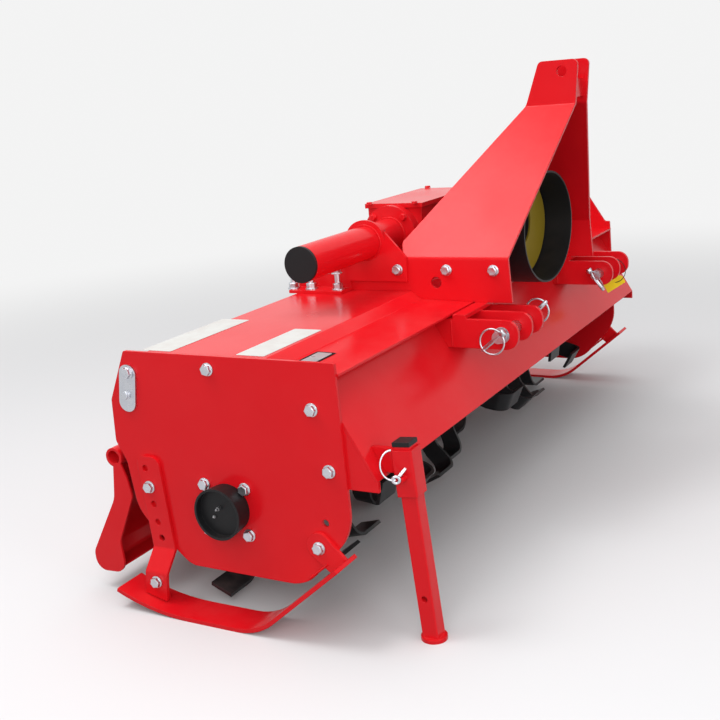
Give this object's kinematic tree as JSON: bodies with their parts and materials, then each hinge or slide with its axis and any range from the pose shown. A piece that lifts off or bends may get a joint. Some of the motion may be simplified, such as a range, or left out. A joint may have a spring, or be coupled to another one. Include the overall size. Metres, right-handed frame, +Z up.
{
  "type": "rotavator",
  "caption": "Tractor-mounted rotary tiller with folded headstock, offset cross tube, tined rotor under a hood, skids, parking leg and hinged tailboard.",
  "frame": {"origin": "on the ground, below the middle of the machine's bounding box", "axes": "+X to the machine's right side, +Y forward to the tractor, +Z up"},
  "size_m": [2.046, 0.8864, 1.102],
  "materials": {
    "red_paint": "gloss",
    "zinc_steel": "satin",
    "bare_steel": "satin",
    "black_metal": "satin",
    "black_plastic": "satin",
    "yellow_plastic": "satin"
  },
  "bodies": {
    "frame": {"deck": "red_paint", "apron": "red_paint", "corner_gussets": "red_paint", "side_plates": "red_paint", "mast_plates": "red_paint", "mast_spacer": "red_paint", "hitch_plates": "red_paint", "gearbox": "red_paint", "cross_tubes": "red_paint", "tube_brackets": "red_paint", "gear_case": "red_paint", "skids": "red_paint", "skid_bars": "red_paint", "skid_spacers": "red_paint", "leg_sleeve": "red_paint", "leg_carrier": "red_paint", "hinge_bar": "red_paint", "hitch_pins": "zinc_steel", "corner_links": "zinc_steel", "end_caps": "black_plastic", "pto_guard": "black_plastic", "guard_disc": "yellow_plastic"},
    "rotor": {"rotor": "black_metal"},
    "input_shaft": {"input_shaft": "bare_steel"},
    "tailboard": {"tailboard": "red_paint"},
    "leg": {"leg": "red_paint", "leg_plug": "black_plastic"}
  },
  "joints": [
    {"name": "rotor_spin", "type": "hinge", "parent": "frame", "child": "rotor", "pos_m": [-0.033, -0.03855, 0.248], "axis": [1, 0, 0], "continuous": true},
    {"name": "input_spin", "type": "hinge", "parent": "frame", "child": "input_shaft", "pos_m": [-0.033, 0.13645, 0.7], "axis": [0, 1, 0], "continuous": true},
    {"name": "tailboard_lift", "type": "hinge", "parent": "frame", "child": "tailboard", "pos_m": [-0.033, -0.34255, 0.3285], "axis": [-1, 0, 0], "range_deg": [0, 60]},
    {"name": "leg_slide", "type": "slide", "parent": "frame", "child": "leg", "axis": [0, -0.0837, 0.9965], "range_m": [0, 0.2]}
  ],
  "couplings": [
    {"joint": "input_spin", "follows": "rotor_spin", "ratio": -2.5}
  ]
}
